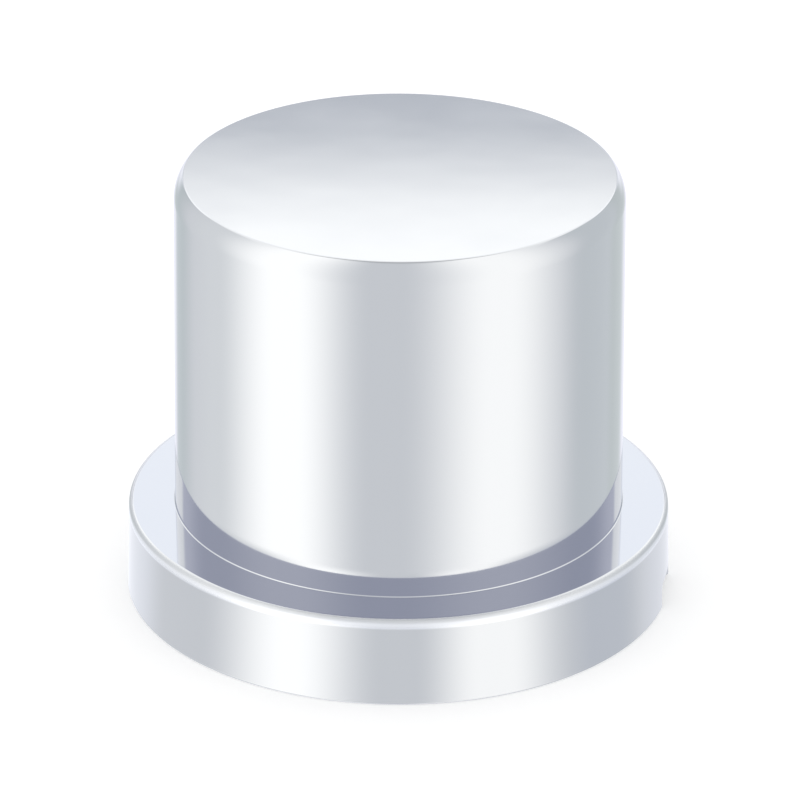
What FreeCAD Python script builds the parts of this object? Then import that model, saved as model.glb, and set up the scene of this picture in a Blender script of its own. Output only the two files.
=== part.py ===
import FreeCAD, Part
import math
import os
import Sketcher

# Wheel nut cover cap: a push-on, flat-topped cover with a round flange,
# moulded in one piece and plated bright. It is a thin shell, open below.
# Inside, upright ribs grip the six flats of the wheel nut that it hides.
#
# Frame: millimetres, +Z up along the axis of the cap. The origin is in the
# middle of the foot, the ring that the cap stands on, and the small notch
# for prying the cap off is on the +X side.

# Driving sizes
SIZES = [
    ("cover_height", 52.4, "foot to the flat top"),
    ("rim_inset", 1.05, "rim of the top inside the head of the wall"),
    ("shoulder_drop", 2.73, "rim of the top down to the head of the wall"),
    ("rim_bevel", 0.3, "bevel of the rim of the top"),
    ("body_radius", 26.8, "outside of the body at the top of the flange"),
    ("body_draft", 0.66, "lean of the body wall, degrees"),
    ("body_wall", 2.2, "thickness of the body wall"),
    ("top_wall", 2.4, "thickness of the top"),
    ("ceiling_bevel", 1.6, "bevel inside, where the wall meets the top"),
    ("joint_bevel", 0.4, "bevel in the corner of body and flange"),
    ("flange_height", 10.9, "foot to the top of the flange"),
    ("flange_radius", 32.7, "outside of the skirt at the foot"),
    ("skirt_draft", 2.1, "lean of the skirt, degrees"),
    ("skirt_wall", 2.2, "thickness of the skirt, level"),
    ("flange_wall", 2.2, "thickness of the top of the flange"),
    ("lip_radius", 0.8, "rounding of the edge of the flange"),
    ("foot_bevel", 0.3, "bevel of the outer edge of the foot"),
    ("nut_across_flats", 33.0, "wheel nut that the ribs grip"),
    ("rib_squeeze", 0.1, "how far a rib reaches past the flat of the nut"),
    ("rib_count", 12, "gripping ribs, two on each flat of the nut"),
    ("rib_thickness", 1.6, "gripping rib, across"),
    ("rib_setback", 1.5, "lower end of the ribs above the flange's ceiling"),
    ("lead_in_height", 4.0, "taper at the lower end of a rib, upright"),
    ("lead_in_depth", 1.6, "taper at the lower end of a rib, level"),
    ("root_bite", 0.6, "how far a rib runs into the wall and the top"),
    ("notch_width", 8.6, "notch for prying the cap off, across"),
    ("notch_height", 3.0, "notch for prying the cap off, upright"),
    ("notch_radius", 0.9, "rounding of the upper corners of the notch"),
]

NODE = "nut_cover_cap"
FULL_TURN = 360.0
SAME_PLACE = 0.001

doc = FreeCAD.newDocument("NutCoverCap")
sheet = doc.addObject("Spreadsheet::Sheet", "Sizes")
for row, (alias, value, note) in enumerate(SIZES, start=1):
    sheet.set(f"A{row}", note)
    sheet.set(f"B{row}", str(value))
    sheet.setAlias(f"B{row}", alias)
doc.recompute()


def size(alias):
    """The sheet's value of one driving size."""
    return float(sheet.get(alias))


# Places that several features share, worked out from the sheet
CEILING = "(Sizes.cover_height - Sizes.top_wall)"
FLANGE_CEILING = "(Sizes.flange_height - Sizes.flange_wall)"
BORE_RADIUS = "(Sizes.body_radius - Sizes.body_wall)"
RIB_FOOT = f"({FLANGE_CEILING} + Sizes.rib_setback)"
# A rib stands half a rib spacing off the middle of a flat, so the nearer
# corner of its tip meets the flat first
RIB_LEAN = "(180 / Sizes.rib_count)"
RIB_TIP = (
    "((Sizes.nut_across_flats / 2 - Sizes.rib_squeeze"
    f" + Sizes.rib_thickness / 2 * sin({RIB_LEAN})) / cos({RIB_LEAN}))"
)


def slope(alias):
    """Run over rise of a wall that leans by the named draft."""
    return math.tan(math.radians(size(alias)))


rim_height = size("cover_height")
ceiling = rim_height - size("top_wall")
flange_ceiling = size("flange_height") - size("flange_wall")
bore_radius = size("body_radius") - size("body_wall")
wall_head = rim_height - size("shoulder_drop")
wall_head_radius = size("body_radius") - slope("body_draft") * (wall_head - size("flange_height"))
rim_ring_radius = wall_head_radius - size("rim_inset")
flange_top_radius = size("flange_radius") - slope("skirt_draft") * size("flange_height")

cap = doc.addObject("PartDesign::Body", "Cap")
cap.Label = NODE


def origin_feature(role):
    """One of the body's own origin planes or axes."""
    return next(item for item in cap.Origin.OriginFeatures if item.Role == role)


def new_sketch(name, role):
    """An empty sketch on one of the body's origin planes."""
    sketch = cap.newObject("Sketcher::SketchObject", name)
    sketch.AttachmentSupport = (origin_feature(role), [""])
    sketch.MapMode = "FlatFace"
    return sketch


def at(across, up):
    """A point of a sketch."""
    return FreeCAD.Vector(across, up, 0)


def add_line(sketch, start, end):
    """A line between two points; returns its number."""
    return sketch.addGeometry(Part.LineSegment(at(*start), at(*end)), False)


def add_arc(sketch, centre, start, end):
    """An arc about a centre, anticlockwise between two points; returns its number."""
    radius = math.dist(centre, start)
    start_angle = math.atan2(start[1] - centre[1], start[0] - centre[0])
    end_angle = math.atan2(end[1] - centre[1], end[0] - centre[0])
    circle = Part.Circle(at(*centre), FreeCAD.Vector(0, 0, 1), radius)
    return sketch.addGeometry(Part.ArcOfCircle(circle, start_angle, end_angle), False)


def constrain(sketch, kind, *items):
    """A constraint with no size of its own."""
    sketch.addConstraint(Sketcher.Constraint(kind, *items))


def dimension(sketch, name, kind, items, value, expression):
    """A named constraint whose size follows the sheet."""
    index = sketch.addConstraint(Sketcher.Constraint(kind, *items, value))
    sketch.renameConstraint(index, name)
    sketch.setExpression(f"Constraints.{name}", expression)


FILLET, BEVEL = "PartDesign::Fillet", "PartDesign::Chamfer"
START, END = 1, 2
ORIGIN_POINT = (-1, 1)
X_AXIS, Y_AXIS = -1, -2


def check_solved(sketch):
    """Every sketch is fully and consistently dimensioned."""
    if sketch.solve() != 0:
        raise RuntimeError(f"{sketch.Name} has no solution")


# Outer form: half of the outline, turned about the axis
def outer_section():
    sketch = new_sketch("OuterSection", "XZ_Plane")
    middle = (0.0, 0.0)
    top = (0.0, rim_height)
    rim = (rim_ring_radius, rim_height)
    head = (wall_head_radius, wall_head)
    joint = (size("body_radius"), size("flange_height"))
    lip = (flange_top_radius, size("flange_height"))
    foot = (size("flange_radius"), 0.0)
    chord = math.dist(rim, head)
    chord_angle = math.atan2(size("shoulder_drop"), size("rim_inset"))
    draft = math.radians(size("body_draft"))
    half_sweep = math.pi / 2 - chord_angle - draft
    shoulder_radius = chord / 2 / math.sin(half_sweep)
    shoulder_centre = (
        head[0] - shoulder_radius * math.cos(draft),
        head[1] - shoulder_radius * math.sin(draft),
    )

    axis = add_line(sketch, middle, top)
    deck = add_line(sketch, top, rim)
    shoulder = add_arc(sketch, shoulder_centre, head, rim)
    wall = add_line(sketch, head, joint)
    ledge = add_line(sketch, joint, lip)
    skirt = add_line(sketch, lip, foot)
    base = add_line(sketch, foot, middle)

    constrain(sketch, "Coincident", axis, START, *ORIGIN_POINT)
    constrain(sketch, "Vertical", axis)
    constrain(sketch, "Coincident", deck, START, axis, END)
    constrain(sketch, "Horizontal", deck)
    constrain(sketch, "Coincident", shoulder, END, deck, END)
    constrain(sketch, "Tangent", shoulder, START, wall, START)
    constrain(sketch, "Coincident", wall, END, ledge, START)
    constrain(sketch, "Horizontal", ledge)
    constrain(sketch, "Coincident", ledge, END, skirt, START)
    constrain(sketch, "Coincident", skirt, END, base, START)
    constrain(sketch, "Coincident", base, END, axis, START)
    constrain(sketch, "Horizontal", base)

    dimension(sketch, "cover_height", "DistanceY", (axis, START, axis, END),
              rim_height, "Sizes.cover_height")
    dimension(sketch, "rim_inset", "DistanceX", (shoulder, END, shoulder, START),
              size("rim_inset"), "Sizes.rim_inset")
    dimension(sketch, "shoulder_drop", "DistanceY", (shoulder, START, shoulder, END),
              size("shoulder_drop"), "Sizes.shoulder_drop")
    dimension(sketch, "body_draft", "Angle", (wall,),
              draft - math.pi / 2, "Sizes.body_draft - 90")
    dimension(sketch, "body_radius", "DistanceX", (*ORIGIN_POINT, wall, END),
              joint[0], "Sizes.body_radius")
    dimension(sketch, "flange_height", "DistanceY", (*ORIGIN_POINT, wall, END),
              joint[1], "Sizes.flange_height")
    dimension(sketch, "skirt_draft", "Angle", (skirt,),
              math.radians(size("skirt_draft")) - math.pi / 2, "Sizes.skirt_draft - 90")
    dimension(sketch, "flange_radius", "DistanceX", (*ORIGIN_POINT, skirt, END),
              foot[0], "Sizes.flange_radius")
    check_solved(sketch)
    return sketch


# Hollow: the nut's room inside the body and the wider room inside the flange
def hollow_section():
    sketch = new_sketch("HollowSection", "XZ_Plane")
    mouth_radius = size("flange_radius") - size("skirt_wall")
    recess_radius = mouth_radius - slope("skirt_draft") * flange_ceiling
    bevel = size("ceiling_bevel")
    draft = math.radians(size("body_draft"))
    bevel_low_radius = bore_radius - slope("body_draft") * (ceiling - bevel - flange_ceiling)
    bevel_low = (bevel_low_radius, ceiling - bevel)
    bevel_high = (bevel_low_radius - bevel, ceiling)

    axis = add_line(sketch, (0.0, 0.0), (0.0, ceiling))
    roof = add_line(sketch, (0.0, ceiling), bevel_high)
    slant = add_line(sketch, bevel_high, bevel_low)
    bore = add_line(sketch, bevel_low, (bore_radius, flange_ceiling))
    ledge = add_line(sketch, (bore_radius, flange_ceiling), (recess_radius, flange_ceiling))
    skirt = add_line(sketch, (recess_radius, flange_ceiling), (mouth_radius, 0.0))
    mouth = add_line(sketch, (mouth_radius, 0.0), (0.0, 0.0))

    constrain(sketch, "Coincident", axis, START, *ORIGIN_POINT)
    constrain(sketch, "Vertical", axis)
    constrain(sketch, "Coincident", roof, START, axis, END)
    constrain(sketch, "Horizontal", roof)
    constrain(sketch, "Coincident", roof, END, slant, START)
    constrain(sketch, "Coincident", slant, END, bore, START)
    constrain(sketch, "Coincident", bore, END, ledge, START)
    constrain(sketch, "Horizontal", ledge)
    constrain(sketch, "Coincident", ledge, END, skirt, START)
    constrain(sketch, "Coincident", skirt, END, mouth, START)
    constrain(sketch, "Coincident", mouth, END, axis, START)
    constrain(sketch, "Horizontal", mouth)

    dimension(sketch, "ceiling", "DistanceY", (axis, START, axis, END),
              ceiling, CEILING)
    dimension(sketch, "bevel_in", "DistanceX", (slant, START, slant, END),
              bevel, "Sizes.ceiling_bevel")
    dimension(sketch, "bevel_down", "DistanceY", (slant, END, slant, START),
              bevel, "Sizes.ceiling_bevel")
    dimension(sketch, "body_draft", "Angle", (bore,),
              draft - math.pi / 2, "Sizes.body_draft - 90")
    dimension(sketch, "bore_radius", "DistanceX", (*ORIGIN_POINT, bore, END),
              bore_radius, BORE_RADIUS)
    dimension(sketch, "flange_ceiling", "DistanceY", (*ORIGIN_POINT, bore, END),
              flange_ceiling, FLANGE_CEILING)
    dimension(sketch, "skirt_draft", "Angle", (skirt,),
              math.radians(size("skirt_draft")) - math.pi / 2, "Sizes.skirt_draft - 90")
    dimension(sketch, "mouth_radius", "DistanceX", (*ORIGIN_POINT, skirt, END),
              mouth_radius, "Sizes.flange_radius - Sizes.skirt_wall")
    check_solved(sketch)
    return sketch


# Gripping rib: a fin from the wall to the nut's flat, tapered at its mouth
def rib_section():
    sketch = new_sketch("RibSection", "XZ_Plane")
    lean = math.pi / size("rib_count")
    reach = size("nut_across_flats") / 2 - size("rib_squeeze")
    tip = (reach + size("rib_thickness") / 2 * math.sin(lean)) / math.cos(lean)
    rib_foot = flange_ceiling + size("rib_setback")
    rib_head = ceiling + size("root_bite")
    root = bore_radius + size("root_bite")
    root_low = (root - slope("body_draft") * size("rib_setback"), rib_foot)
    root_high = (root - slope("body_draft") * (rib_head - flange_ceiling), rib_head)
    tip_high = (tip, rib_head)
    tip_low = (tip, rib_foot + size("lead_in_height"))
    toe = (tip + size("lead_in_depth"), rib_foot)

    back = add_line(sketch, root_high, root_low)
    sole = add_line(sketch, root_low, toe)
    taper = add_line(sketch, toe, tip_low)
    edge = add_line(sketch, tip_low, tip_high)
    head = add_line(sketch, tip_high, root_high)

    constrain(sketch, "Coincident", back, END, sole, START)
    constrain(sketch, "Coincident", sole, END, taper, START)
    constrain(sketch, "Coincident", taper, END, edge, START)
    constrain(sketch, "Coincident", edge, END, head, START)
    constrain(sketch, "Coincident", head, END, back, START)
    constrain(sketch, "Horizontal", sole)
    constrain(sketch, "Vertical", edge)
    constrain(sketch, "Horizontal", head)

    dimension(sketch, "body_draft", "Angle", (back,),
              math.radians(size("body_draft")) - math.pi / 2, "Sizes.body_draft - 90")
    dimension(sketch, "root", "DistanceX", (*ORIGIN_POINT, back, END),
              root_low[0], f"{BORE_RADIUS} + Sizes.root_bite - tan(Sizes.body_draft) * Sizes.rib_setback")
    dimension(sketch, "rib_foot", "DistanceY", (*ORIGIN_POINT, back, END),
              rib_foot, RIB_FOOT)
    dimension(sketch, "rib_tip", "DistanceX", (*ORIGIN_POINT, edge, START),
              tip, RIB_TIP)
    dimension(sketch, "lead_in_depth", "DistanceX", (taper, END, taper, START),
              size("lead_in_depth"), "Sizes.lead_in_depth")
    dimension(sketch, "lead_in_height", "DistanceY", (taper, START, taper, END),
              size("lead_in_height"), "Sizes.lead_in_height")
    dimension(sketch, "rib_head", "DistanceY", (*ORIGIN_POINT, edge, END),
              rib_head, f"{CEILING} + Sizes.root_bite")
    check_solved(sketch)
    return sketch


# Pry notch: a low opening with rounded upper corners
def notch_outline():
    sketch = new_sketch("NotchOutline", "YZ_Plane")
    half, tall, corner = size("notch_width") / 2, size("notch_height"), size("notch_radius")

    sill = add_line(sketch, (-half, 0.0), (half, 0.0))
    right = add_line(sketch, (half, 0.0), (half, tall - corner))
    right_arc = add_arc(sketch, (half - corner, tall - corner), (half, tall - corner), (half - corner, tall))
    lintel = add_line(sketch, (half - corner, tall), (corner - half, tall))
    left_arc = add_arc(sketch, (corner - half, tall - corner), (corner - half, tall), (-half, tall - corner))
    left = add_line(sketch, (-half, tall - corner), (-half, 0.0))

    constrain(sketch, "Coincident", sill, END, right, START)
    constrain(sketch, "Tangent", right, END, right_arc, START)
    constrain(sketch, "Tangent", right_arc, END, lintel, START)
    constrain(sketch, "Tangent", lintel, END, left_arc, START)
    constrain(sketch, "Tangent", left_arc, END, left, START)
    constrain(sketch, "Coincident", left, END, sill, START)
    constrain(sketch, "PointOnObject", sill, START, X_AXIS)
    constrain(sketch, "Vertical", right)
    constrain(sketch, "Vertical", left)
    constrain(sketch, "Horizontal", lintel)
    constrain(sketch, "Equal", right_arc, left_arc)
    constrain(sketch, "Symmetric", sill, START, sill, END, Y_AXIS)

    dimension(sketch, "notch_width", "DistanceX", (sill, START, sill, END),
              2 * half, "Sizes.notch_width")
    dimension(sketch, "notch_height", "DistanceY", (*ORIGIN_POINT, lintel, START),
              tall, "Sizes.notch_height")
    dimension(sketch, "notch_radius", "Radius", (right_arc,),
              corner, "Sizes.notch_radius")
    check_solved(sketch)
    return sketch


def ring_edges(feature, radius, height):
    """The level round edges of a feature with this radius at this height."""
    names = []
    for number, edge in enumerate(feature.Shape.Edges, start=1):
        curve = edge.Curve
        if not isinstance(curve, Part.Circle) or abs(curve.Axis.z) < 1 - SAME_PLACE:
            continue
        if abs(curve.Radius - radius) < SAME_PLACE and abs(curve.Center.z - height) < SAME_PLACE:
            names.append(f"Edge{number}")
    if not names:
        raise RuntimeError(f"{feature.Name} has no round edge at {radius:.3f}, {height:.3f}")
    return names


def dress_edge(kind, name, base, radius, height, alias):
    """A fillet or a bevel on the round edge at one radius and height."""
    feature = cap.newObject(kind, name)
    feature.Base = (base, ring_edges(base, radius, height))
    measure = "Radius" if kind == FILLET else "Size"
    feature.setExpression(measure, f"Sizes.{alias}")
    doc.recompute()
    return feature


def turn_about_axis(kind, name, sketch):
    """A full turn of a sketch about the cap's axis."""
    feature = cap.newObject(kind, name)
    feature.Profile = sketch
    feature.ReferenceAxis = (sketch, ["V_Axis"])
    feature.Angle = FULL_TURN
    doc.recompute()
    return feature


def volume_of(feature):
    return feature.Shape.Volume


outer_form = turn_about_axis("PartDesign::Revolution", "OuterForm", outer_section())
rim = dress_edge(BEVEL, "RimBevel", outer_form, rim_ring_radius, rim_height, "rim_bevel")
joint = dress_edge(BEVEL, "JointBevel", rim, size("body_radius"), size("flange_height"), "joint_bevel")
lip = dress_edge(FILLET, "LipRounding", joint, flange_top_radius, size("flange_height"), "lip_radius")
foot = dress_edge(BEVEL, "FootBevel", lip, size("flange_radius"), 0.0, "foot_bevel")

hollow = turn_about_axis("PartDesign::Groove", "Hollow", hollow_section())
if volume_of(hollow) > volume_of(foot) * 0.5:
    raise RuntimeError("the hollow cuts too little")

rib = cap.newObject("PartDesign::Pad", "Rib")
rib.Profile = rib_section()
rib.Midplane = True
rib.setExpression("Length", "Sizes.rib_thickness")
doc.recompute()

ribs = cap.newObject("PartDesign::PolarPattern", "Ribs")
ribs.Originals = [rib]
ribs.Axis = (origin_feature("Z_Axis"), [""])
ribs.Angle = FULL_TURN
ribs.setExpression("Occurrences", "Sizes.rib_count")
cap.Tip = ribs
doc.recompute()

notch = cap.newObject("PartDesign::Pocket", "PryNotch")
notch.Profile = notch_outline()
notch.setExpression("Length", "Sizes.flange_radius + Sizes.skirt_wall")
notch.Reversed = True
cap.Tip = notch
doc.recompute()
if volume_of(notch) >= volume_of(ribs):
    raise RuntimeError("the notch cuts nothing")

for item in doc.Objects:
    if "Invalid" in item.State or "Error" in item.State:
        raise RuntimeError(f"{item.Name} is {item.State}")
if cap.Shape.isNull() or not cap.Shape.isValid():
    raise RuntimeError(f"{cap.Label} has no valid shape")
if len(cap.Shape.Solids) != 1:
    raise RuntimeError(f"{cap.Label} has {len(cap.Shape.Solids)} solids")

os.makedirs("parts", exist_ok=True)
cap.Shape.exportStep(f"parts/{cap.Label}.step")
box = cap.Shape.BoundBox
print(f"{cap.Label}: volume {cap.Shape.Volume / 1000:.2f} cm3, faces {len(cap.Shape.Faces)}")
print(f"box {box.XMin:.2f} {box.XMax:.2f} {box.YMin:.2f} {box.YMax:.2f} {box.ZMin:.2f} {box.ZMax:.2f}")
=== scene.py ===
import math

import bpy
import numpy as np
from mathutils import Matrix, Vector


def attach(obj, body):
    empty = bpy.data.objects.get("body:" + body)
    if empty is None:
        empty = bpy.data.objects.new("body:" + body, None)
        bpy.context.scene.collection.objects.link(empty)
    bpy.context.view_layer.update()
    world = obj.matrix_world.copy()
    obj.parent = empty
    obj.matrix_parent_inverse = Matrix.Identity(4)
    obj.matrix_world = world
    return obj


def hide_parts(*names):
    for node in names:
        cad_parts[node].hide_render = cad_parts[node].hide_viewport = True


# Wheel nut cover cap: one ABS moulding, plated with bright chromium
# Frame of the part: metres, +Z up along the axis, foot on z = 0, pry notch
# on +X. The sizes below are millimetres and become metres in the meshes.

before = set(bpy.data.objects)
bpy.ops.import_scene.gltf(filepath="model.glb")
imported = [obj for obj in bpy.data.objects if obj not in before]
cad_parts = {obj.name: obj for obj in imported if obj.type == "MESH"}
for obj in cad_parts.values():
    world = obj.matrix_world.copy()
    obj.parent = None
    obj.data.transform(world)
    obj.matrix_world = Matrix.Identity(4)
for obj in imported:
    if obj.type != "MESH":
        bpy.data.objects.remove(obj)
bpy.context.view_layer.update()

MM = 0.001

# Outside of the cap
COVER_HEIGHT = 52.4
RIM_INSET = 1.05
SHOULDER_DROP = 2.73
RIM_RADIUS = 0.25
BODY_RADIUS = 26.8
BODY_DRAFT = math.radians(0.66)
JOINT_RADIUS = 0.15
FLANGE_HEIGHT = 10.9
FLANGE_RADIUS = 32.7
SKIRT_DRAFT = math.radians(2.1)
LIP_RADIUS = 0.6
FOOT_RADIUS = 0.3

# Hollow
TOP_WALL = 2.4
SIDE_WALL = 2.2
CEILING_RADIUS = 1.6
RECESS_RADIUS = 0.5
BORE_EDGE_RADIUS = 0.3
CEILING = COVER_HEIGHT - TOP_WALL
FLANGE_CEILING = FLANGE_HEIGHT - SIDE_WALL

# Gripping ribs for a nut of 33 mm across flats, two on each flat
RIB_COUNT = 12
RIB_TIP = 17.19
RIB_THICKNESS = 1.6
RIB_SETBACK = 1.5
RIB_FOOT = FLANGE_CEILING + RIB_SETBACK
LEAD_IN_HEIGHT = 4.0
LEAD_IN_DEPTH = 1.6
ROOT_BITE = 0.6
RIB_EDGE_RADIUS = 0.15

# Pry notch
NOTCH_HALF = 4.3
NOTCH_HEIGHT = 3.0
NOTCH_CORNER = 0.9
NOTCH_EDGE_RADIUS = 0.25
# The notch's cutter passes the foot and both faces of the skirt, and its
# flare starts just clear of those faces, so that the cut is clean
CUTTER_FOOT = -1.0
CUTTER_OVERSHOOT = 1.5
FLARE_CLEARANCE = 0.012

# Drafted walls, each as its radius at a height, that height and its draft
BODY_WALL = (BODY_RADIUS, FLANGE_HEIGHT, BODY_DRAFT)
SKIRT_WALL = (FLANGE_RADIUS, 0.0, SKIRT_DRAFT)
INNER_SKIRT_WALL = (FLANGE_RADIUS - SIDE_WALL, 0.0, SKIRT_DRAFT)
BORE_WALL = (BODY_RADIUS - SIDE_WALL, FLANGE_CEILING, BODY_DRAFT)

# Where the centre of a rounding lies, beside its wall and by its level face,
# and whether it rounds off an edge or fills an inner corner
OUTWARD, INWARD = 1, -1
ABOVE, BELOW = 1, -1
EDGE, CORNER = 1, -1

# Columns of the turned form round the axis. Points nearer than the merging
# distance become one, at the seam and on the axis.
COLUMNS = 256
MERGING_DISTANCE = 0.001
# How near a point has to be to the outline to count as on it, and a face to a
# wall of the hollow
ON_OUTLINE = 0.005
ON_WALL = 0.02
# Turns past the first angle stay sharp. A face more than the second one off
# the outline's own normal is a rib's or the notch's, and keeps its own.
SHARP_TURN = math.radians(35)
OFF_OUTLINE = math.radians(20)

# Bright plating, and the painted highlight on the lip of the flange, a whiter
# band of it: the heights of its lower and upper edge, each where it has faded
# out and where it is full
BRIGHT_TONE = "#C7C9CB"
BRIGHT_ROUGHNESS = (0.045, 0.075)
LIP_HIGHLIGHT_TONE = "#E3E5E8"
LIP_HIGHLIGHT_EDGES = ((9.55, 9.85), (10.6, 10.2))
# The haze added to the roughness on the lip of the flange, with its own edges
LIP_HAZE = 0.42
LIP_HAZE_EDGES = ((9.6, 10.2), (10.895, 10.8))
# Thin plating inside, from where it is thin to where it is thickest
THIN_TONES = ("#A9A59C", "#C2C3C4")
THIN_ROUGHNESS = (0.42, 0.24)
# The stretch of a noise pattern, which keeps near its middle, that is used
PATTERN_LOW, PATTERN_HIGH = 0.3, 0.7
# Widths and heights of the patterns: the waves of the moulding from crest to
# crest, the grain of the bright plating, the patches of haze in it, the clouds
# of the thin plating and the grain of the unpolished side of the mould
WAVE_WIDTH, WAVE_HEIGHT = 9.0, 0.004
GRAIN_WIDTH, GRAIN_HEIGHT = 0.5, 0.00008
HAZE_WIDTH = 14.0
CLOUD_WIDTH = 8.0
MOULD_GRAIN_WIDTH, MOULD_GRAIN_HEIGHT = 0.25, 0.004


def wall_radius(wall, height):
    """Radius of a drafted wall at a height."""
    radius, known_height, draft = wall
    return radius - math.tan(draft) * (height - known_height)


def arc(centre, radius, start, end, steps, form=EDGE):
    """Rows of an arc: radius, height and the two parts of the outward normal."""
    angle = np.linspace(start, end, steps + 1)
    direction = np.stack([np.cos(angle), np.sin(angle)], axis=1)
    return np.hstack([np.array(centre) + radius * direction, form * direction])


def rounding(wall, level, radius, beside, by_level, form, steps, from_wall):
    """Rows of the rounding between a drafted wall and a level face, from the
    wall to the face or back."""
    height = level + by_level * radius
    centre = (wall_radius(wall, height) + beside * radius / math.cos(wall[2]), height)
    wall_angle = wall[2] if beside == INWARD else math.pi + wall[2]
    under = 1.5 if beside == OUTWARD else -0.5
    level_angle = math.pi / 2 if by_level == BELOW else under * math.pi
    ends = (wall_angle, level_angle) if from_wall else (level_angle, wall_angle)
    return arc(centre, radius, *ends, steps, form)


def shoulder_rows():
    """Rows of the rounded rim of the top and of the shoulder below it."""
    head = COVER_HEIGHT - SHOULDER_DROP
    head_radius = wall_radius(BODY_WALL, head)
    chord = math.hypot(RIM_INSET, SHOULDER_DROP)
    half_sweep = math.pi / 2 - math.atan2(SHOULDER_DROP, RIM_INSET) - BODY_DRAFT
    radius = chord / 2 / math.sin(half_sweep)
    centre = (head_radius - radius * math.cos(BODY_DRAFT), head - radius * math.sin(BODY_DRAFT))
    # The rim's rounding touches the flat top and the inside of the shoulder
    rim_height = COVER_HEIGHT - RIM_RADIUS
    rise = rim_height - centre[1]
    run = math.sqrt((radius - RIM_RADIUS) ** 2 - rise ** 2)
    meeting = math.atan2(rise, run)
    rim = arc((centre[0] + run, rim_height), RIM_RADIUS, math.pi / 2, meeting, steps=8)
    shoulder = arc(centre, radius, meeting, BODY_DRAFT, steps=24)
    return np.vstack([rim, shoulder[1:]])


def turned_outline():
    """The whole section, from the middle of the top round to the middle of
    the ceiling. The number in a rounding is its steps."""
    outside = [
        np.array([[0.0, COVER_HEIGHT, 0.0, 1.0]]),
        shoulder_rows(),
        rounding(BODY_WALL, FLANGE_HEIGHT, JOINT_RADIUS, OUTWARD, ABOVE, CORNER, 8, from_wall=True),
        rounding(SKIRT_WALL, FLANGE_HEIGHT, LIP_RADIUS, INWARD, BELOW, EDGE, 20, from_wall=False),
        rounding(SKIRT_WALL, 0.0, FOOT_RADIUS, INWARD, ABOVE, EDGE, 6, from_wall=True),
        rounding(INNER_SKIRT_WALL, 0.0, FOOT_RADIUS, OUTWARD, ABOVE, EDGE, 6, from_wall=False),
    ]
    inside = [
        rounding(INNER_SKIRT_WALL, FLANGE_CEILING, RECESS_RADIUS, INWARD, BELOW, CORNER, 6, from_wall=True),
        rounding(BORE_WALL, FLANGE_CEILING, BORE_EDGE_RADIUS, OUTWARD, ABOVE, EDGE, 6, from_wall=False),
        rounding(BORE_WALL, CEILING, CEILING_RADIUS, INWARD, BELOW, CORNER, 8, from_wall=True),
        np.array([[0.0, CEILING, 0.0, -1.0]]),
    ]
    return np.vstack(outside + inside)


def new_mesh_object(name, points, edges=(), faces=()):
    """A linked object with a mesh given in millimetres."""
    mesh = bpy.data.meshes.new(name)
    mesh.from_pydata([Vector(point) * MM for point in points], list(edges), list(faces))
    thing = bpy.data.objects.new(name, mesh)
    bpy.context.scene.collection.objects.link(thing)
    return thing


def rib_blank():
    """One gripping rib, on +X. Its root and its head end inside the walls, and
    the two long edges of its tip are eased."""
    half, ease = RIB_THICKNESS / 2, RIB_EDGE_RADIUS
    # Plan of the rib at any height: the tip's two eased corners, then the root
    plan = [
        (0.0, ease - half), (ease, -half), (None, -half),
        (None, half), (ease, half), (0.0, half - ease),
    ]
    levels = [
        (RIB_FOOT, RIB_TIP + LEAD_IN_DEPTH),
        (RIB_FOOT + LEAD_IN_HEIGHT, RIB_TIP),
        (CEILING + ROOT_BITE, RIB_TIP),
    ]
    points = []
    for height, tip in levels:
        root = wall_radius(BORE_WALL, height) + ROOT_BITE
        points += [(root if run is None else tip + run, across, height) for run, across in plan]
    size = len(plan)
    faces = [tuple(reversed(range(size))), tuple(range(2 * size, 3 * size))]
    for level in range(len(levels) - 1):
        for corner in range(size):
            low, next_low = level * size + corner, level * size + (corner + 1) % size
            faces.append((low, next_low, next_low + size, low + size))
    return new_mesh_object("rib_blank", points, faces=faces)


def notch_path():
    """The notch's outline seen from outside: across, height and outward normal."""
    corner_height = NOTCH_HEIGHT - NOTCH_CORNER
    left_centre = (NOTCH_CORNER - NOTCH_HALF, corner_height)
    right_centre = (NOTCH_HALF - NOTCH_CORNER, corner_height)
    left = arc(left_centre, NOTCH_CORNER, math.pi, math.pi / 2, steps=8)
    right = arc(right_centre, NOTCH_CORNER, math.pi / 2, 0.0, steps=8)
    # The flat top has points enough to follow the round skirt
    lintel_points = 18
    across = np.linspace(left[-1, 0], right[0, 0], lintel_points)[1:-1]
    lintel = [(place, NOTCH_HEIGHT, 0.0, 1.0) for place in across]
    start = [(-NOTCH_HALF, CUTTER_FOOT, -1.0, 0.0)]
    end = [(NOTCH_HALF, CUTTER_FOOT, 1.0, 0.0)]
    return np.vstack([start, left, lintel, right, end])


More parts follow.
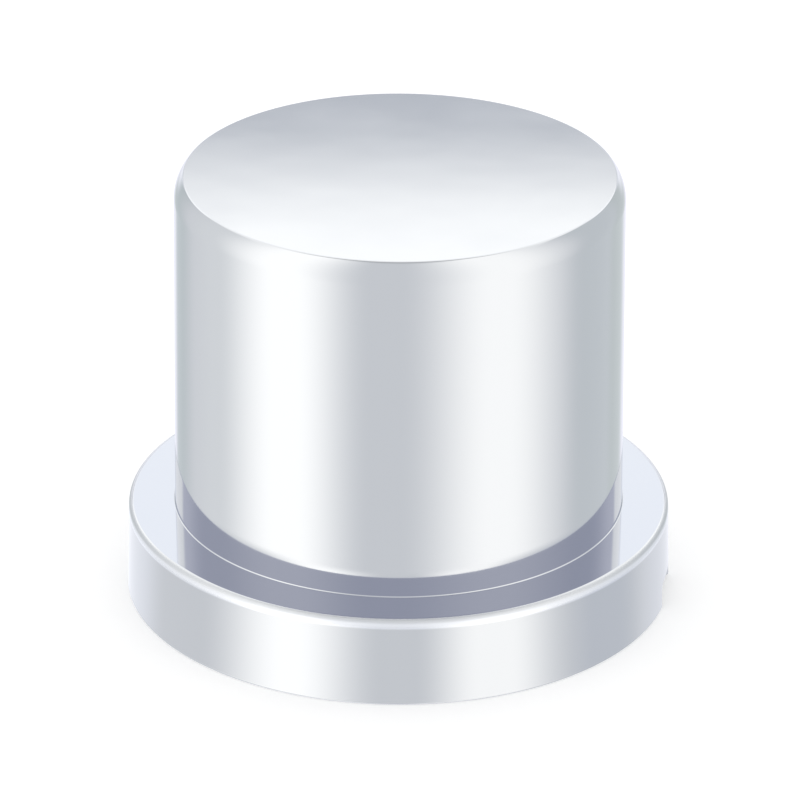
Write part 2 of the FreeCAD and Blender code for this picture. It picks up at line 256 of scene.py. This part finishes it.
def notch_cutter():
    """The room of the pry notch, flared where it opens through the skirt's
    two faces, so that its edges come out rounded."""
    path = notch_path()
    quarter = np.linspace(0.0, math.pi / 2, 5)
    flare = NOTCH_EDGE_RADIUS * (1 - np.sin(quarter))
    depth = NOTCH_EDGE_RADIUS * (1 - np.cos(quarter))
    depth[0] = -FLARE_CLEARANCE
    depth = np.concatenate([[-CUTTER_OVERSHOOT], depth])
    flare = np.concatenate([[flare[0]], flare])
    rows = [(SKIRT_WALL, -inset, spread) for inset, spread in zip(depth, flare)]
    rows += [(INNER_SKIRT_WALL, inset, spread) for inset, spread in zip(depth[::-1], flare[::-1])]
    points = []
    for wall, shift, spread in rows:
        for across, height, normal_across, normal_up in path:
            y, z = across + normal_across * spread, height + normal_up * spread
            reach = wall_radius(wall, z) + shift
            points.append((math.sqrt(reach ** 2 - y ** 2), y, z))
    count = len(path)
    faces = []
    for row in range(len(rows) - 1):
        for column in range(count):
            here, beside = row * count + column, row * count + (column + 1) % count
            faces.append((here, beside, beside + count, here + count))
    last = (len(rows) - 1) * count
    for column in range(1, count - 1):
        faces.append((0, column + 1, column))
        faces.append((last, last + column, last + column + 1))
    return new_mesh_object("notch_cutter", points, faces=faces)


def linear(code, level=1.0):
    """A hex colour, at a level of light, as the values that shaders take."""
    parts = [int(code[place:place + 2], 16) / 255 for place in (1, 3, 5)]
    light = [v / 12.92 if v <= 0.04045 else ((v + 0.055) / 1.055) ** 2.4 for v in parts]
    return (*(part * level for part in light), 1.0)


def add_node(tree, kind, inputs=None, **settings):
    """A node with its settings, and its inputs set to values or linked."""
    node = tree.nodes.new(kind)
    for name, value in settings.items():
        setattr(node, name, value)
    for key, value in (inputs or {}).items():
        if isinstance(value, bpy.types.NodeSocket):
            tree.links.new(value, node.inputs[key])
        else:
            node.inputs[key].default_value = value
    return node


def new_material(name):
    """A material with an empty tree, and the tree."""
    material = bpy.data.materials.new(name)
    material.use_nodes = True
    material.node_tree.nodes.clear()
    return material, material.node_tree


def shown_within(tree, *edges):
    """How far something shows that fades out past its edges. Each edge is a
    value, what it is where nothing shows and what it is where all does."""
    whole = None
    for value, nothing, full in edges:
        share = add_node(tree, "ShaderNodeMapRange", {
            "Value": value, "From Min": nothing, "From Max": full, "To Min": 0.0, "To Max": 1.0,
        }, interpolation_type="SMOOTHSTEP").outputs["Result"]
        if whole is None:
            whole = share
        else:
            both = add_node(tree, "ShaderNodeMath", {0: whole, 1: share}, operation="MULTIPLY")
            whole = both.outputs[0]
    return whole


def lay_over(tree, below, colour, *edges):
    """A colour laid over what is behind it, and faded out past its edges."""
    mask = shown_within(tree, *edges)
    mixed = add_node(tree, "ShaderNodeMix", {0: mask, 6: below, 7: colour}, data_type="RGBA")
    return mixed.outputs[2]


def bright_chromium():
    """Bright decorative chromium over polished ABS: a near mirror, slightly
    blue, whose reflections waver a little where the moulding is not quite
    flat and dull a little where the plating bath left a faint haze. On the
    lip of the flange it is hazy, and a whiter band there is a painted highlight."""
    material, tree = new_material("bright_chromium_plating")
    place = add_node(tree, "ShaderNodeTexCoord").outputs["Object"]
    height = add_node(tree, "ShaderNodeSeparateXYZ", {0: place}).outputs["Z"]
    height = add_node(tree, "ShaderNodeMath", {0: height, 1: MM}, operation="DIVIDE").outputs[0]
    # The whiter band on the lip is a painted highlight laid over the plating's tone
    highlight_band = [(height, *edge) for edge in LIP_HIGHLIGHT_EDGES]
    tone = lay_over(tree, linear(BRIGHT_TONE), linear(LIP_HIGHLIGHT_TONE), *highlight_band)
    # Waviness of the moulding
    waves = add_node(tree, "ShaderNodeTexNoise", {
        "Vector": place, "Scale": 1 / (WAVE_WIDTH * MM), "Detail": 1.0,
    })
    swell = add_node(tree, "ShaderNodeBump", {
        "Height": waves.outputs["Fac"], "Strength": 1.0, "Distance": WAVE_HEIGHT * MM,
    })
    # Grain of the plated surface, coarser than the real one so that it shows
    grain = add_node(tree, "ShaderNodeTexNoise", {
        "Vector": place, "Scale": 1 / (GRAIN_WIDTH * MM), "Detail": 3.0,
    })
    peel = add_node(tree, "ShaderNodeBump", {
        "Height": grain.outputs["Fac"], "Strength": 1.0, "Distance": GRAIN_HEIGHT * MM,
        "Normal": swell.outputs["Normal"],
    })
    # Faint haze in patches
    haze = add_node(tree, "ShaderNodeTexNoise", {
        "Vector": place, "Scale": 1 / (HAZE_WIDTH * MM), "Detail": 4.0,
    })
    roughness = add_node(tree, "ShaderNodeMapRange", {
        "Value": haze.outputs["Fac"], "From Min": PATTERN_LOW, "From Max": PATTERN_HIGH,
        "To Min": BRIGHT_ROUGHNESS[0], "To Max": BRIGHT_ROUGHNESS[1],
    }).outputs["Result"]
    hazy = shown_within(tree, *((height, *edge) for edge in LIP_HAZE_EDGES))
    roughness = add_node(tree, "ShaderNodeMath", {
        0: hazy, 1: LIP_HAZE, 2: roughness,
    }, operation="MULTIPLY_ADD").outputs[0]
    shader = add_node(tree, "ShaderNodeBsdfPrincipled", {
        "Base Color": tone, "Metallic": 1.0,
        "Roughness": roughness, "Normal": peel.outputs["Normal"],
    })
    add_node(tree, "ShaderNodeOutputMaterial", {"Surface": shader.outputs["BSDF"]})
    return material


def thin_chromium():
    """The same plating inside the cap, where little of it settles: hazy, a
    little yellow from the nickel below, and cloudy from one rib to the next."""
    material, tree = new_material("thin_hazy_plating")
    place = add_node(tree, "ShaderNodeTexCoord").outputs["Object"]
    # Clouds of uneven plating
    clouds = add_node(tree, "ShaderNodeTexNoise", {
        "Vector": place, "Scale": 1 / (CLOUD_WIDTH * MM), "Detail": 5.0,
    }).outputs["Fac"]
    tone = add_node(tree, "ShaderNodeMix", {
        0: clouds, 6: linear(THIN_TONES[0]), 7: linear(THIN_TONES[1]),
    }, data_type="RGBA")
    roughness = add_node(tree, "ShaderNodeMapRange", {
        "Value": clouds, "From Min": PATTERN_LOW, "From Max": PATTERN_HIGH,
        "To Min": THIN_ROUGHNESS[0], "To Max": THIN_ROUGHNESS[1],
    })
    # Grain of the unpolished side of the mould
    grain = add_node(tree, "ShaderNodeTexNoise", {
        "Vector": place, "Scale": 1 / (MOULD_GRAIN_WIDTH * MM), "Detail": 2.0,
    })
    bump = add_node(tree, "ShaderNodeBump", {
        "Height": grain.outputs["Fac"], "Strength": 1.0, "Distance": MOULD_GRAIN_HEIGHT * MM,
    })
    shader = add_node(tree, "ShaderNodeBsdfPrincipled", {
        "Base Color": tone.outputs[2], "Metallic": 1.0,
        "Roughness": roughness.outputs["Result"], "Normal": bump.outputs["Normal"],
    })
    add_node(tree, "ShaderNodeOutputMaterial", {"Surface": shader.outputs["BSDF"]})
    return material


def turned_shell(tree, outline, columns):
    """The part of the tree that bends a grid, with one row for each point of
    the outline, round the axis."""
    rows = add_node(tree, "GeometryNodeAttributeDomainSize", {"Geometry": outline})
    rows = rows.outputs["Point Count"]
    seam = add_node(tree, "ShaderNodeMath", {0: columns, 1: 1.0}, operation="ADD").outputs[0]
    grid = add_node(tree, "GeometryNodeMeshGrid", {
        "Size X": 1.0, "Size Y": 1.0, "Vertices X": seam, "Vertices Y": rows,
    }).outputs["Mesh"]
    # The grid lies round its middle, so half its size is added
    here = add_node(tree, "GeometryNodeInputPosition").outputs[0]
    share = add_node(tree, "ShaderNodeVectorMath", {0: here, 1: (0.5, 0.5, 0.0)}, operation="ADD")
    share = add_node(tree, "ShaderNodeSeparateXYZ", {0: share.outputs[0]}).outputs
    angle = add_node(tree, "ShaderNodeMath", {
        0: share["X"], 1: math.tau,
    }, operation="MULTIPLY").outputs[0]
    last_row = add_node(tree, "ShaderNodeMath", {0: rows, 1: 1.0}, operation="SUBTRACT").outputs[0]
    row = add_node(tree, "ShaderNodeMath", {
        0: share["Y"], 1: last_row,
    }, operation="MULTIPLY").outputs[0]
    row = add_node(tree, "ShaderNodeMath", {0: row}, operation="ROUND").outputs[0]
    point = add_node(tree, "GeometryNodeSampleIndex", {
        "Geometry": outline, "Value": here, "Index": row,
    }, data_type="FLOAT_VECTOR", domain="POINT").outputs[0]
    turned = add_node(tree, "ShaderNodeVectorRotate", {
        "Vector": point, "Angle": angle,
    }, rotation_type="Z_AXIS").outputs[0]
    shell = add_node(tree, "GeometryNodeSetPosition", {"Geometry": grid, "Position": turned})
    closed = add_node(tree, "GeometryNodeMergeByDistance", {
        "Geometry": shell.outputs[0], "Distance": MERGING_DISTANCE * MM,
    })
    return closed.outputs[0]


def ring_of_ribs(tree, blank, count):
    """The part of the tree that spaces the ribs evenly round the axis."""
    places = add_node(tree, "GeometryNodePoints", {"Count": count}).outputs[0]
    step = add_node(tree, "ShaderNodeMath", {0: math.tau, 1: count}, operation="DIVIDE").outputs[0]
    number = add_node(tree, "GeometryNodeInputIndex").outputs[0]
    turn = add_node(tree, "ShaderNodeMath", {0: number, 1: step}, operation="MULTIPLY").outputs[0]
    heading = add_node(tree, "ShaderNodeCombineXYZ", {"Z": turn}).outputs[0]
    rib = add_node(tree, "GeometryNodeObjectInfo", {"Object": blank}).outputs["Geometry"]
    ribs = add_node(tree, "GeometryNodeInstanceOnPoints", {
        "Points": places, "Instance": rib, "Rotation": heading,
    })
    return add_node(tree, "GeometryNodeRealizeInstances", {"Geometry": ribs.outputs[0]}).outputs[0]


def cap_tree(plating):
    """Node tree that turns the outline, adds the ribs and cuts the notch, and
    the identifiers of its sockets by name."""
    tree = bpy.data.node_groups.new("turned_cap", "GeometryNodeTree")
    wanted = [
        ("Outline", "NodeSocketGeometry", "INPUT"), ("Columns", "NodeSocketInt", "INPUT"),
        ("Rib", "NodeSocketObject", "INPUT"), ("Rib Count", "NodeSocketInt", "INPUT"),
        ("Notch Cutter", "NodeSocketObject", "INPUT"), ("Cap", "NodeSocketGeometry", "OUTPUT"),
    ]
    sockets = {}
    for name, kind, way in wanted:
        sockets[name] = tree.interface.new_socket(name, in_out=way, socket_type=kind).identifier
    given = add_node(tree, "NodeGroupInput").outputs

    joined = add_node(tree, "GeometryNodeMeshBoolean", operation="UNION", solver="EXACT")
    shell = turned_shell(tree, given["Outline"], given["Columns"])
    ribs = ring_of_ribs(tree, given["Rib"], given["Rib Count"])
    for part in (shell, ribs):
        tree.links.new(part, joined.inputs["Mesh 2"])
    cutter = add_node(tree, "GeometryNodeObjectInfo", {"Object": given["Notch Cutter"]})
    cut = add_node(tree, "GeometryNodeMeshBoolean", {
        "Mesh 1": joined.outputs["Mesh"], "Mesh 2": cutter.outputs["Geometry"],
    }, operation="DIFFERENCE", solver="EXACT").outputs["Mesh"]
    whole = add_node(tree, "GeometryNodeRealizeInstances", {"Geometry": cut}).outputs[0]
    finished = add_node(tree, "GeometryNodeSetMaterial", {"Geometry": whole, "Material": plating})
    add_node(tree, "NodeGroupOutput", {0: finished.outputs[0]})
    return tree, sockets


def read_rows(items, name, width=3, kind=np.float32):
    """A property of all items of one sort in a mesh, one row for each."""
    values = np.empty(len(items) * width, kind)
    items.foreach_get(name, values)
    return values.reshape(-1, width)


def nearest_on_outline(flat, outline):
    """How far points given as radius and height lie from the outline, and the
    outline's normal where it is nearest to them."""
    nearest = np.full(len(flat), np.inf)
    normal = np.zeros((len(flat), 2))
    for start, end in zip(outline[:-1], outline[1:]):
        along = end[:2] - start[:2]
        share = np.clip((flat - start[:2]) @ along / (along @ along), 0.0, 1.0)
        gap = np.linalg.norm(flat - start[:2] - share[:, None] * along, axis=1)
        blended = start[2:] + share[:, None] * (end[2:] - start[2:])
        nearer = gap < nearest
        nearest[nearer] = gap[nearer]
        normal[nearer] = blended[nearer]
    return nearest, normal / np.linalg.norm(normal, axis=1)[:, None]


def true_normals(mesh, outline):
    """Gives each corner of the turned faces the exact normal of the turned
    form, because a mirror finish shows every slip of a guessed one."""
    mesh.set_sharp_from_angle(angle=SHARP_TURN)
    place = read_rows(mesh.vertices, "co").astype(float) / MM
    radius = np.hypot(place[:, 0], place[:, 1])
    off, section = nearest_on_outline(np.stack([radius, place[:, 2]], axis=1), outline)
    # On the axis any direction does, because the outline is level there
    outward = place[:, :2] / np.maximum(radius, 1e-9)[:, None]
    true = np.hstack([outward * section[:, :1], section[:, 1:]])

    vertex = read_rows(mesh.loops, "vertex_index", 1, np.int32).ravel()
    corners = read_rows(mesh.corner_normals, "vector").astype(float)
    face_size = read_rows(mesh.polygons, "loop_total", 1, np.int32).ravel()
    face_normal = np.repeat(read_rows(mesh.polygons, "normal"), face_size, axis=0)
    wanted = true[vertex]
    same_way = (wanted * face_normal).sum(axis=1) > math.cos(OFF_OUTLINE)
    fits = (off[vertex] < ON_OUTLINE) & same_way
    corners[fits] = wanted[fits]
    mesh.normals_split_custom_set(corners.tolist())


def mark_hollow(mesh, hollow_material):
    """Gives the faces of the hollow and the ribs the thin plating."""
    mesh.materials.append(hollow_material)
    for face in mesh.polygons:
        x, y, z = face.center / MM
        wall = BORE_WALL if z > FLANGE_CEILING - ON_WALL else INNER_SKIRT_WALL
        within = math.hypot(x, y) < wall_radius(wall, z) + ON_WALL
        if within and FOOT_RADIUS < z < CEILING + ON_WALL:
            face.material_index = 1


def build_cap(outline):
    """The whole cap as one plain mesh."""
    points = [(radius, 0.0, height) for radius, height in outline[:, :2]]
    edges = [(row, row + 1) for row in range(len(points) - 1)]
    source = new_mesh_object("cap_outline", points, edges=edges)
    rib, cutter = rib_blank(), notch_cutter()
    tree, sockets = cap_tree(bright_chromium())
    modifier = source.modifiers.new("turned_cap", "NODES")
    modifier.node_group = tree
    modifier[sockets["Columns"]] = COLUMNS
    modifier[sockets["Rib"]] = rib
    modifier[sockets["Rib Count"]] = RIB_COUNT
    modifier[sockets["Notch Cutter"]] = cutter
    graph = bpy.context.evaluated_depsgraph_get()
    mesh = bpy.data.meshes.new_from_object(source.evaluated_get(graph), depsgraph=graph)
    mesh.name = "nut_cover_shell"
    source.modifiers.clear()
    for helper in (source, rib, cutter):
        bpy.data.objects.remove(helper)
    mesh.shade_smooth()
    mark_hollow(mesh, thin_chromium())
    true_normals(mesh, outline)
    cap = bpy.data.objects.new("nut_cover_shell", mesh)
    bpy.context.scene.collection.objects.link(cap)
    return cap


cap = build_cap(turned_outline())
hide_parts("nut_cover_cap")
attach(cap, "root")

# Camera of the photograph, in millimetres and degrees: it stands 7.5 degrees
# round from the front, so that the notch shows at the right edge
CAMERA_HEADING = math.radians(7.5)
CAMERA_DISTANCE = 576.8
CAMERA_RISE = math.radians(27.52)
VIEW_DROP = math.radians(25.43)
VIEW_YAW = math.radians(0.013)
VIEW_ROLL = math.radians(0.264)
FOCAL_PIXELS = 4762.8
FRAME_PIXELS = 800
SENSOR_WIDTH = 36.0
# Nearest and farthest that the camera sees, in metres
CAMERA_REACH = (0.01, 20.0)


def place_camera():
    """The camera of the photograph."""
    data = bpy.data.cameras.new("photo_camera")
    data.sensor_width = SENSOR_WIDTH
    data.lens = FOCAL_PIXELS / FRAME_PIXELS * SENSOR_WIDTH
    data.clip_start, data.clip_end = CAMERA_REACH
    camera = bpy.data.objects.new("photo_camera", data)
    bpy.context.scene.collection.objects.link(camera)
    round_axis = Matrix.Rotation(CAMERA_HEADING, 3, "Z")
    forward = round_axis @ Vector((
        math.sin(VIEW_YAW) * math.cos(VIEW_DROP),
        math.cos(VIEW_YAW) * math.cos(VIEW_DROP),
        -math.sin(VIEW_DROP),
    ))
    right = forward.cross(Vector((0.0, 0.0, 1.0))).normalized()
    up = right.cross(forward)
    rolled_right = math.cos(VIEW_ROLL) * right + math.sin(VIEW_ROLL) * up
    rolled_up = math.cos(VIEW_ROLL) * up - math.sin(VIEW_ROLL) * right
    turn = Matrix((rolled_right, rolled_up, -forward)).transposed()
    toward = round_axis @ Vector((0.0, -math.cos(CAMERA_RISE), math.sin(CAMERA_RISE)))
    place = toward * CAMERA_DISTANCE * MM
    camera.matrix_world = Matrix.Translation(place) @ turn.to_4x4()
    bpy.context.scene.camera = camera


# White table, in millimetres: it reaches out to where the eye can't tell, and
# stands just below the foot. Its own light lifts it to the photograph's white.
TABLE_TONE = "#F4F4F4"
TABLE_LIFT = 0.22
TABLE_REACH = 4000.0
TABLE_CLEARANCE = 0.02
# The pale backdrop past the photograph's frame, which only the other views
# show, and how far from the cap's axis the table turns into it
BACKDROP = ("#E6E9ED", 1.0)
TABLE_ENDS = (208, 268)

# Studio that the metal mirrors. Headings are in degrees round from the
# camera's own side, to its right, so 180 is straight behind the cap. A card
# is a tall sheet of even light in the plain room: its heading, the half widths
# at which it is full and has faded out, its colour and its level of light.
ROOM = ("#F8FAFF", 1.02)
CARDS = [
    (132, 22, 46, "#F3F8FD", 0.94),
    (146, 4, 16, "#F4FBFD", 0.85),
    (-152, 4, 27, "#F0F8FC", 0.84),
    (-97, 8, 38, "#FAFCFF", 1.12),
    (52, 4, 52, "#FFFEFD", 1.63),
    (-60, 6, 46, "#FFFEFD", 1.74),
    (180, 15, 25, "#F4F5FF", 1.12),
]
# Bands over the cards, each over the one before it: the heading of its middle,
# the degrees off it at which the band has faded out and is full, the degrees
# above the horizon at which it starts and is full, its colour and its level
BEHIND, BEFORE = 180, 0
BANDS = [
    # The lower wall behind the cap, and the dusk above it
    (BEHIND, (34, 20), (-14, -6), "#F6F7FF", 1.35),
    (BEHIND, (65, 40), (18.5, 21.0), "#EFF4FF", 0.80),
    # The bright strip above the dusk, which the level faces mirror, and the
    # middle of its upper part, a little less bright
    (BEHIND, (65, 40), (21.85, 23.45), "#FFFFFF", 1.66),
    (BEHIND, (18, 10), (23.9, 25.8), "#F4F7FF", 1.50),
    # The high lamps to the sides and behind, and the dimmer height before
    (BEFORE, (70, 105), (33, 38), "#FFFFFF", 1.5),
    (BEFORE, (100, 70), (50, 57), "#F4F6FA", 0.72),
]
# The lit ceiling over all of these: the degrees above the horizon at which it
# starts and is full, and its light
OVERHEAD_EDGE = (68, 88)
OVERHEAD_LIGHT = ("#FFFFFF", 1.25)
# The dim gap that the corner of body and flange mirrors all round, but for
# straight behind: its light, the part of it that shows, the headings between
# which it ends and the part that shows past them
GAP_LIGHT = ("#DADDFB", 1.0)
GAP_SHARE = 0.71
GAP_ENDS = (149.5, 144.5)
GAP_END_SHARE = 0.2
# A depth of mirroring between once and twice
TWICE_MIRRORED = 1.5

# Low cards close round the cap, which the skirt mirrors, on a curved sheet of
# this radius. The rays that the skirt mirrors fall at this slope on the way.
LOW_SHEET_RADIUS = 42.0
LOW_SHEET_FALL = math.tan(math.radians(23.8))
# The room between the low cards, and the cards: each with the place on the
# skirt before the camera that mirrors it, from -1 at the left end to 1 at the
# right, the half widths at which it is full and has faded out, its colour and
# its level
LOW_ROOM = ("#F8FAFF", 1.01)
LOW_CARDS = [
    (0.75, 0.04, 0.17, "#F0F4FD", 0.93),
    (1.0, 0.06, 0.16, "#F6F8FF", 1.10),
    (-1.0, 0.06, 0.16, "#F6F8FF", 1.20),
    (0.345, 0.05, 0.29, "#FFFEFD", 1.60),
    (-0.385, 0.02, 0.33, "#FFFEFD", 1.74),
]
# How far round the skirt the sheet's ends are met, in degrees off the camera,
# and its columns
LOW_SHEET_END = 89
LOW_SHEET_COLUMNS = 90
# Height on the skirt, just below its foot, from which the lower edge is met
LOW_SHEET_START = -1.0
# How far its light fades out past its upper edge, straight before the camera
# and at the two ends, and past its lower edge
LOW_SHEET_FADE = (0.5, 1.7)
LOW_SHEET_FOOT_FADE = 6.0


def off_heading(tree, level_ray, heading):
    """Degrees between a ray's heading and a given one."""
    angle = CAMERA_HEADING - math.pi / 2 + math.radians(heading)
    toward = (math.cos(angle), math.sin(angle), 0.0)
    dot = add_node(tree, "ShaderNodeVectorMath", {0: level_ray, 1: toward}, operation="DOT_PRODUCT")
    turn = add_node(tree, "ShaderNodeMath", {0: dot.outputs["Value"]}, operation="ARCCOSINE")
    return add_node(tree, "ShaderNodeMath", {0: turn.outputs[0]}, operation="DEGREES").outputs[0]


def mirrored_studio(tree, glossy_depth):
    """The colour that a mirrored ray brings back from the studio."""
    ray = add_node(tree, "ShaderNodeTexCoord").outputs["Generated"]
    level_ray = add_node(tree, "ShaderNodeVectorMath", {
        0: ray, 1: (1.0, 1.0, 0.0),
    }, operation="MULTIPLY").outputs[0]
    level_ray = add_node(tree, "ShaderNodeVectorMath", {0: level_ray}, operation="NORMALIZE").outputs[0]
    upward = add_node(tree, "ShaderNodeSeparateXYZ", {0: ray}).outputs["Z"]
    rise = add_node(tree, "ShaderNodeMath", {0: upward}, operation="ARCSINE").outputs[0]
    rise = add_node(tree, "ShaderNodeMath", {0: rise}, operation="DEGREES").outputs[0]
    off = {side: off_heading(tree, level_ray, side) for side in (BEHIND, BEFORE)}

    seen = linear(*ROOM)
    for heading, full, faded, code, level in CARDS:
        sides = (off_heading(tree, level_ray, heading), faded, full)
        seen = lay_over(tree, seen, linear(code, level), sides)
    for side, sides, edge, code, level in BANDS:
        seen = lay_over(tree, seen, linear(code, level), (off[side], *sides), (rise, *edge))
    seen = lay_over(tree, seen, linear(*OVERHEAD_LIGHT), (rise, *OVERHEAD_EDGE))

    # Only what is mirrored twice, as in that corner, looks into the gap
    twice = add_node(tree, "ShaderNodeMath", {
        0: glossy_depth, 1: TWICE_MIRRORED,
    }, operation="GREATER_THAN").outputs[0]
    share = add_node(tree, "ShaderNodeMapRange", {
        "Value": off[BEFORE], "From Min": GAP_ENDS[0], "From Max": GAP_ENDS[1],
        "To Min": GAP_END_SHARE, "To Max": GAP_SHARE,
    }, interpolation_type="SMOOTHSTEP").outputs["Result"]
    gap = add_node(tree, "ShaderNodeMath", {0: twice, 1: share}, operation="MULTIPLY").outputs[0]
    return add_node(tree, "ShaderNodeMix", {
        0: gap, 6: seen, 7: linear(*GAP_LIGHT),
    }, data_type="RGBA").outputs[2]


def light_studio():
    """A world that is plain white as soft light, the pale backdrop to the eye
    and the studio to what the metal mirrors."""
    world = bpy.data.worlds.new("studio")
    world.use_nodes = True
    bpy.context.scene.world = world
    tree = world.node_tree
    tree.nodes.clear()
    path = add_node(tree, "ShaderNodeLightPath").outputs
    studio = mirrored_studio(tree, path["Glossy Depth"])
    mirrored, plain, backdrop = (
        add_node(tree, "ShaderNodeBackground", {"Color": light, "Strength": 1.0}).outputs[0]
        for light in (studio, linear("#FFFFFF"), linear(*BACKDROP))
    )
    mixed = add_node(tree, "ShaderNodeMixShader", {0: path["Is Glossy Ray"], 1: plain, 2: mirrored})
    mixed = add_node(tree, "ShaderNodeMixShader", {
        0: path["Is Camera Ray"], 1: mixed.outputs[0], 2: backdrop,
    })
    add_node(tree, "ShaderNodeOutputWorld", {"Surface": mixed.outputs[0]})


def low_sheet_mesh():
    """The curved sheet of low cards. Its edges are where the rays that the
    camera's view sends off the top and the foot of the skirt meet it."""
    skirt_top = FLANGE_HEIGHT - LIP_RADIUS
    radius = wall_radius(SKIRT_WALL, skirt_top / 2)
    before = CAMERA_HEADING - math.pi / 2
    # Light of a column's points: its faded top, its two edges, its faded foot
    column = (0.0, 1.0, 1.0, 0.0)
    size = len(column)
    points, places, shares = [], [], []
    for side in np.radians(np.linspace(-LOW_SHEET_END, LOW_SHEET_END, LOW_SHEET_COLUMNS)):
        off_axis = radius * math.sin(side)
        reach = math.sqrt(LOW_SHEET_RADIUS ** 2 - off_axis ** 2) - radius * math.cos(side)
        here, onward = before + side, before + 2 * side
        x = radius * math.cos(here) + reach * math.cos(onward)
        y = radius * math.sin(here) + reach * math.sin(onward)
        top, foot = (start - reach * LOW_SHEET_FALL for start in (skirt_top, LOW_SHEET_START))
        fade = LOW_SHEET_FADE[0] + (LOW_SHEET_FADE[1] - LOW_SHEET_FADE[0]) * math.sin(side) ** 2
        points += [(x, y, height) for height in (top + fade, top, foot, foot - LOW_SHEET_FOOT_FADE)]
        shares += column
        places += [math.sin(side)] * size
    faces = []
    for start in range(0, len(points) - size, size):
        faces += [(low, low + 1, low + size + 1, low + size) for low in range(start, start + size - 1)]
    sheet = new_mesh_object("low_cards", points, faces=faces)
    for name, values in (("place", places), ("share", shares)):
        sheet.data.attributes.new(name, "FLOAT", "POINT").data.foreach_set("value", values)
    return sheet


def stand_low_sheet():
    """Lights the low cards and puts them in the scene, for mirrored rays."""
    material, tree = new_material("low_card_light")
    place = add_node(tree, "ShaderNodeAttribute", attribute_name="place").outputs["Fac"]
    seen = linear(*LOW_ROOM)
    for centre, full, faded, code, level in LOW_CARDS:
        off = add_node(tree, "ShaderNodeMath", {0: place, 1: centre}, operation="SUBTRACT").outputs[0]
        off = add_node(tree, "ShaderNodeMath", {0: off}, operation="ABSOLUTE").outputs[0]
        seen = lay_over(tree, seen, linear(code, level), (off, faded, full))
    glow = add_node(tree, "ShaderNodeEmission", {"Color": seen, "Strength": 1.0}).outputs[0]
    clear = add_node(tree, "ShaderNodeBsdfTransparent", {"Color": linear("#FFFFFF")}).outputs[0]
    share = add_node(tree, "ShaderNodeAttribute", attribute_name="share").outputs["Fac"]
    cards = add_node(tree, "ShaderNodeMixShader", {0: share, 1: clear, 2: glow}).outputs[0]
    add_node(tree, "ShaderNodeOutputMaterial", {"Surface": cards})
    sheet = low_sheet_mesh()
    sheet.data.materials.append(material)
    for rays in ("camera", "diffuse", "transmission", "shadow"):
        setattr(sheet, "visible_" + rays, False)


def lay_floor():
    """A plain white table top. The eye sees it white with the cap's own soft
    shadow, past the photograph's frame it runs into the pale backdrop, and
    mirrored rays pass through it to the studio."""
    material, tree = new_material("white_table")
    matt = add_node(tree, "ShaderNodeBsdfDiffuse", {"Color": linear(TABLE_TONE)}).outputs[0]
    lift, far = (
        add_node(tree, "ShaderNodeEmission", {"Color": light, "Strength": strength}).outputs[0]
        for light, strength in ((linear("#FFFFFF"), TABLE_LIFT), (linear(*BACKDROP), 1.0))
    )
    lifted = add_node(tree, "ShaderNodeAddShader", {0: matt, 1: lift}).outputs[0]
    place = add_node(tree, "ShaderNodeTexCoord").outputs["Object"]
    away = add_node(tree, "ShaderNodeVectorMath", {0: place}, operation="LENGTH").outputs["Value"]
    away = add_node(tree, "ShaderNodeMath", {0: away, 1: MM}, operation="DIVIDE").outputs[0]
    past_frame = shown_within(tree, (away, *TABLE_ENDS))
    seen = add_node(tree, "ShaderNodeMixShader", {0: past_frame, 1: lifted, 2: far}).outputs[0]
    path = add_node(tree, "ShaderNodeLightPath").outputs
    table = add_node(tree, "ShaderNodeMixShader", {0: path["Is Camera Ray"], 1: matt, 2: seen})
    add_node(tree, "ShaderNodeOutputMaterial", {"Surface": table.outputs[0]})
    corners = [
        (x * TABLE_REACH, y * TABLE_REACH, -TABLE_CLEARANCE)
        for x, y in ((-1, -1), (1, -1), (1, 1), (-1, 1))
    ]
    floor = new_mesh_object("table_top", corners, faces=[(0, 1, 2, 3)])
    floor.data.materials.append(material)
    floor.visible_glossy = False


place_camera()
light_studio()
stand_low_sheet()
lay_floor()

bpy.context.scene.view_settings.view_transform = "Standard"
